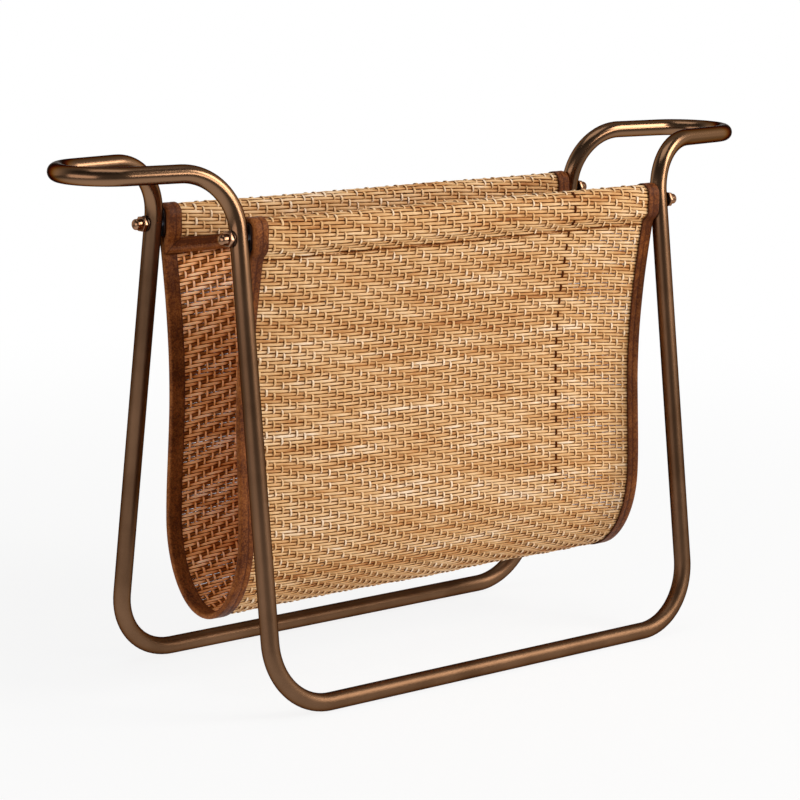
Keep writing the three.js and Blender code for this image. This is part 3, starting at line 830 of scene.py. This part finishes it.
on_leather = (leather_half - 0.06 * millimetre, 186 * millimetre)
on_cane = (1.15 * millimetre, 180 * millimetre)
stitch_rows = [
    stitch_row("thread_hem_rear", hem_seam_inset, *on_leather),
    stitch_row("thread_hem_front", panel_length - hem_seam_inset, *on_leather),
    stitch_row("thread_seam_rear", seam_place, *on_cane),
    stitch_row("thread_seam_front", panel_length - seam_place, *on_cane),
]
for row in stitch_rows:
    row.data.materials.append(thread)
    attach(row, "root")
for edging, node in zip(side_edgings + hem_edgings, (
    "side_edging_left", "side_edging_right", "hem_edging_rear", "hem_edging_front",
)):
    edging.data.materials.append(leather)
    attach(edging, "root")
    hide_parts(node)
for piece in strand_pieces + upright_pieces:
    piece.data.materials.append(cane)
    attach(piece, "root")
    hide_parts("sling_panel")

# Washers. A small steel washer under each cap nut, punched from sheet with lightly rounded
# edges. Its dark colour is partly oxidised steel and partly painted shade where the nut meets the leg.
washer_radius = 5.7 * millimetre
washer_hole = 3.35 * millimetre
washer_inner_x = 207.274 * millimetre
washer_thickness = 0.8 * millimetre
bar_y = 48.557 * millimetre
bar_z = 325.5 * millimetre
# Painted shade in part: the washer is drawn dark to stand for the contact shadow under the nut.
dark_washer = metal_material(
    "dark oxidised steel and painted shade", (0.060, 0.033, 0.022, 1), (0.14, 0.085, 0.060, 1),
    smoothest=0.25, roughest=0.4, cloud_scale=90, relief=0.5,
    Metallic=1.0, Specular_Tint=(0.12, 0.07, 0.04, 1),
)


def turned_copy(piece, name, side, depth, material, node):
    """A copy of a right-hand front fastener at another corner, with its own mesh."""
    copy = piece.copy()
    copy.data = piece.data.copy()
    copy.name = copy.data.name = name
    bpy.context.scene.collection.objects.link(copy)
    edit(copy)
    bpy.ops.mesh.select_all(action="SELECT")
    bpy.ops.transform.resize(value=(side, depth, 1), center_override=(0, 0, 0))
    close_and_smooth(copy, 32)
    copy.data.materials.clear()
    copy.data.materials.append(material)
    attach(copy, "root")
    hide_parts(node)


bpy.ops.object.select_all(action="DESELECT")
bpy.ops.mesh.primitive_cylinder_add(
    vertices=48, radius=washer_radius, depth=washer_thickness, end_fill_type="NOTHING",
    location=(washer_inner_x + washer_thickness / 2, bar_y, bar_z), rotation=(0, math.pi / 2, 0),
)
washer = bpy.context.object
bpy.ops.object.transform_apply(location=True, rotation=True, scale=True)
for face_x in (washer_inner_x, washer_inner_x + washer_thickness):
    edit(washer)
    select_vertices(
        washer,
        lambda place: abs(place.x - face_x) < 1e-6
        and math.hypot(place.y - bar_y, place.z - bar_z) > washer_hole + 1e-4,
    )
    bpy.ops.mesh.extrude_region_move(TRANSFORM_OT_translate={"value": (0, 0, 0)})
    bpy.ops.transform.resize(
        value=(1, washer_hole / washer_radius, washer_hole / washer_radius),
        center_override=(face_x, bar_y, bar_z),
    )
select_vertices(
    washer, lambda place: math.hypot(place.y - bar_y, place.z - bar_z) < washer_hole + 1e-4
)
bpy.ops.mesh.bridge_edge_loops()
bpy.ops.object.mode_set(mode="OBJECT")
rounding = washer.modifiers.new("rounding", "BEVEL")
rounding.width = 0.15 * millimetre
rounding.segments = 2
rounding.limit_method = "ANGLE"
bpy.ops.object.modifier_apply(modifier=rounding.name)

# Cap nuts. Turned and polished copper-bronze acorn nuts, ten millimetres across their flats,
# with a short hexagon against the washer and a round barrel that ends in a dome.
nut_base_x = 208.374 * millimetre
nut_flats = 10 * millimetre
nut_hex_height = 3 * millimetre
nut_barrel_radius = 3.85 * millimetre
nut_shoulder_height = 6.7 * millimetre
nut_height = 9 * millimetre
nut_material = metal_material(
    "polished copper bronze", (0.24, 0.120, 0.066, 1), (0.40, 0.225, 0.135, 1),
    smoothest=0.16, roughest=0.24, cloud_scale=120, relief=0.1,
    Metallic=1.0, Specular_Tint=(0.30, 0.18, 0.12, 1),
)
bpy.ops.object.select_all(action="DESELECT")
bpy.ops.mesh.primitive_cylinder_add(
    vertices=6, radius=nut_flats / math.sqrt(3), depth=nut_hex_height,
    location=(nut_base_x + nut_hex_height / 2, bar_y, bar_z), rotation=(0, math.pi / 2, 0),
)
nut = bpy.context.object
bpy.ops.object.transform_apply(location=True, rotation=True, scale=True)
corners = nut.modifiers.new("corners", "BEVEL")
corners.width = 0.35 * millimetre
corners.segments = 3
corners.limit_method = "ANGLE"
bpy.ops.object.modifier_apply(modifier=corners.name)

bpy.ops.object.select_all(action="DESELECT")
bpy.ops.mesh.primitive_circle_add(
    vertices=40, radius=nut_barrel_radius, fill_type="NGON",
    location=(nut_base_x + nut_hex_height / 2, bar_y, bar_z), rotation=(0, math.pi / 2, 0),
)
barrel = bpy.context.object
bpy.ops.object.transform_apply(location=True, rotation=True, scale=True)
edit(barrel)
select_vertices(barrel, lambda place: True)
shoulder_x = nut_base_x + nut_shoulder_height
dome_height = nut_base_x + nut_height - shoulder_x
bpy.ops.mesh.extrude_region_move(
    TRANSFORM_OT_translate={"value": (shoulder_x - nut_base_x - nut_hex_height / 2, 0, 0)}
)
angles = np.linspace(0, math.pi / 2, 9)
for low, high in zip(angles[:-1], angles[1:-1]):
    bpy.ops.mesh.extrude_region_move(
        TRANSFORM_OT_translate={"value": (dome_height * (math.sin(high) - math.sin(low)), 0, 0)}
    )
    shrink = math.cos(high) / math.cos(low)
    bpy.ops.transform.resize(value=(1, shrink, shrink))
bpy.ops.mesh.poke()
bpy.ops.mesh.select_all(action="DESELECT")
bpy.ops.object.mode_set(mode="OBJECT")
join = nut.modifiers.new("barrel", "BOOLEAN")
join.operation = "UNION"
join.solver = "EXACT"
join.object = barrel
bpy.ops.object.select_all(action="DESELECT")
bpy.context.view_layer.objects.active = nut
nut.select_set(True)
bpy.ops.object.modifier_apply(modifier=join.name)
bpy.data.objects.remove(barrel)

for row, depth in (("front", -1), ("rear", 1)):
    for end, side in (("left", -1), ("right", 1)):
        corner = f"{row}_{end}"
        turned_copy(
            washer, f"oxidised_and_shaded_washer_{corner}", side, depth, dark_washer, f"washer_{corner}",
        )
        turned_copy(
            nut, f"polished_cap_nut_{corner}", side, depth, nut_material, f"cap_nut_{corner}",
        )
bpy.data.objects.remove(washer)
bpy.data.objects.remove(nut)

# Studio. A white floor that keeps the basket's soft shadow, a white surround, and soft lamps
# placed as in a product photograph: a broad one to the left, a low strip in front, one
# above, and a strong one high on the right. Metal mirrors the white only near and behind.
white_side = (0.657, 0.754, 0)


def towards(nodes, links, vector, way):
    """How far a vector reaches along a direction."""
    reach = nodes.new("ShaderNodeVectorMath")
    reach.operation = "DOT_PRODUCT"
    reach.inputs[1].default_value = way
    links.new(vector, reach.inputs[0])
    return reach.outputs["Value"]


bpy.ops.object.select_all(action="DESELECT")
bpy.ops.mesh.primitive_plane_add(size=40, location=(0, 0, 0))
floor = bpy.context.object
floor.name = "studio_floor"
paper, nodes, links, shader = new_material(
    "white paper", Roughness=0.9, Base_Color=(0.9, 0.9, 0.9, 1)
)
glow = nodes.new("ShaderNodeEmission")
glow.inputs["Color"].default_value = (1, 1, 1, 1)
seen = nodes.new("ShaderNodeLightPath")
mirrored = math_node(
    nodes, links, "MAXIMUM", seen.outputs["Is Glossy Ray"], seen.outputs["Is Transmission Ray"]
)
place = nodes.new("ShaderNodeTexCoord").outputs["Object"]
distance = nodes.new("ShaderNodeVectorMath")
distance.operation = "LENGTH"
links.new(place, distance.inputs[0])
distance = distance.outputs["Value"]
far_off = smooth_step(nodes, links, distance, 0.3, 1.5, low=0.86, high=1.0)
near = smooth_step(nodes, links, distance, 0.5, 1.4, low=1.0, high=0.15)
behind = smooth_step(nodes, links, towards(nodes, links, place, white_side), 0.0, 1.0, low=0.15)
level = math_node(nodes, links, "MAXIMUM", near, behind)
links.new(mix_node(nodes, links, "FLOAT", mirrored, 1.0, level), glow.inputs["Strength"])
share = math_node(nodes, links, "MULTIPLY", seen.outputs["Is Camera Ray"], far_off)
share = math_node(nodes, links, "MAXIMUM", share, mirrored)
blend = nodes.new("ShaderNodeMixShader")
links.new(share, blend.inputs[0])
links.new(shader.outputs[0], blend.inputs[1])
links.new(glow.outputs[0], blend.inputs[2])
links.new(blend.outputs[0], nodes["Material Output"].inputs["Surface"])
floor.data.materials.append(paper)

world = bpy.data.worlds.new("studio")
bpy.context.scene.world = world
world.use_nodes = True
nodes, links = world.node_tree.nodes, world.node_tree.links
surround = nodes["Background"]
seen = nodes.new("ShaderNodeLightPath")
direct = seen.outputs["Is Camera Ray"]
for ray in ("Is Glossy Ray", "Is Transmission Ray"):
    direct = math_node(nodes, links, "MAXIMUM", direct, seen.outputs[ray])
way = nodes.new("ShaderNodeTexCoord").outputs["Generated"]
height = nodes.new("ShaderNodeSeparateXYZ")
links.new(way, height.inputs["Vector"])
ceiling = smooth_step(nodes, links, height.outputs["Z"], 0.25, 0.80, low=1.0, high=0.30)
bright = smooth_step(nodes, links, towards(nodes, links, way, white_side), -0.25, 0.45, low=0.15)
backdrop = math_node(nodes, links, "MULTIPLY", ceiling, bright)
level = mix_node(nodes, links, "FLOAT", direct, 0.30, backdrop)
surround.inputs["Color"].default_value = (1, 1, 1, 1)
links.new(level, surround.inputs["Strength"])


def soft_lamp(name, place, size, power, colour=(1, 1, 1)):
    """A large area lamp aimed at the middle of the basket."""
    lamp = bpy.data.lights.new(name, "AREA")
    lamp.shape = "RECTANGLE"
    lamp.size, lamp.size_y = size
    lamp.energy = power
    lamp.color = colour
    holder = bpy.data.objects.new(name, lamp)
    bpy.context.scene.collection.objects.link(holder)
    aim = Vector((0, 0, 0.19)) - Vector(place)
    turn = aim.to_track_quat("-Z", "Y").to_matrix().to_4x4()
    holder.matrix_world = Matrix.Translation(place) @ turn


soft_lamp("left", (-2.0, -0.25, 0.45), (2.0, 0.9), 10, (1.0, 0.93, 0.90))
soft_lamp("front", (0.95, -1.90, 0.72), (1.1, 0.45), 12, (1.0, 0.95, 0.88))
soft_lamp("right", (1.30, -1.45, 1.40), (0.9, 0.9), 26, (1.0, 0.98, 0.94))
soft_lamp("above", (-0.2, -0.2, 2.4), (1.6, 1.2), 9)

# Camera. A long lens in front of the basket's left end, a little above it, with its place,
# turn and focal length as fitted to the photograph.
camera_place = (-1.3970, -1.5898, 0.5819)
yaw, pitch, roll = 0.7162, -0.1849, 0.0166
camera = bpy.data.cameras.new("camera")
camera.sensor_width = 36
camera.lens = 132.2
camera.clip_start = 0.05
viewer = bpy.data.objects.new("camera", camera)
bpy.context.scene.collection.objects.link(viewer)
ahead = math.cos(pitch)
forward = Vector((math.sin(yaw) * ahead, math.cos(yaw) * ahead, math.sin(pitch)))
level_right = Vector((math.cos(yaw), -math.sin(yaw), 0))
level_up = level_right.cross(forward)
right = level_right * math.cos(roll) + level_up * math.sin(roll)
up = level_up * math.cos(roll) - level_right * math.sin(roll)
turn_matrix = Matrix((right, up, -forward)).transposed().to_4x4()
viewer.matrix_world = Matrix.Translation(camera_place) @ turn_matrix
bpy.context.scene.camera = viewer
bpy.context.scene.view_settings.view_transform = "Standard"
